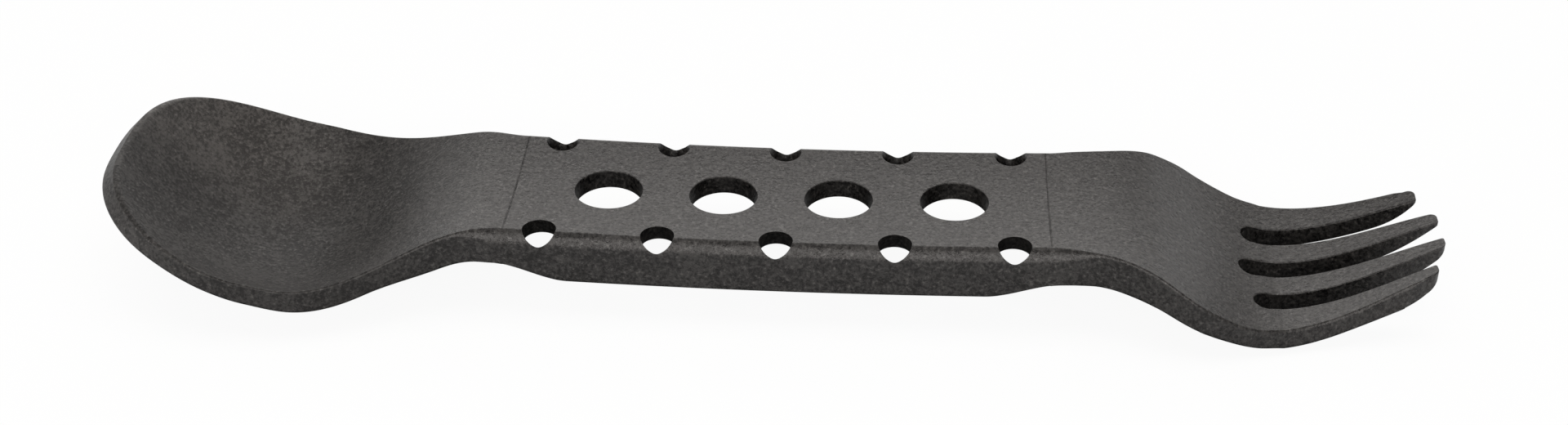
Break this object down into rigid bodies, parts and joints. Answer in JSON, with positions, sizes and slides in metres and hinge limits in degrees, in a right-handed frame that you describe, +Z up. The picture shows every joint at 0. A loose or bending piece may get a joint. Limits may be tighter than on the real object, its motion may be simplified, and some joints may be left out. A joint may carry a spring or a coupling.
{
  "type": "double-ended camping spork",
  "caption": "Double-ended moulded camping spork: a deep spoon bowl and a tined fork joined by a drilled, channel-shaped handle.",
  "frame": {"origin": "centre of the bounding box in X and Y, at its bottom, where both bellies rest", "axes": "+X along the handle towards the fork, +Y across it, +Z up out of the hollow side"},
  "size_m": [0.1726, 0.04, 0.0171],
  "materials": {
    "charcoal_plastic": "fine matt spark-eroded grain"
  },
  "bodies": {
    "root": {"spoon_head": "charcoal_plastic", "handle": "charcoal_plastic", "fork_head": "charcoal_plastic"}
  },
  "joints": []
}
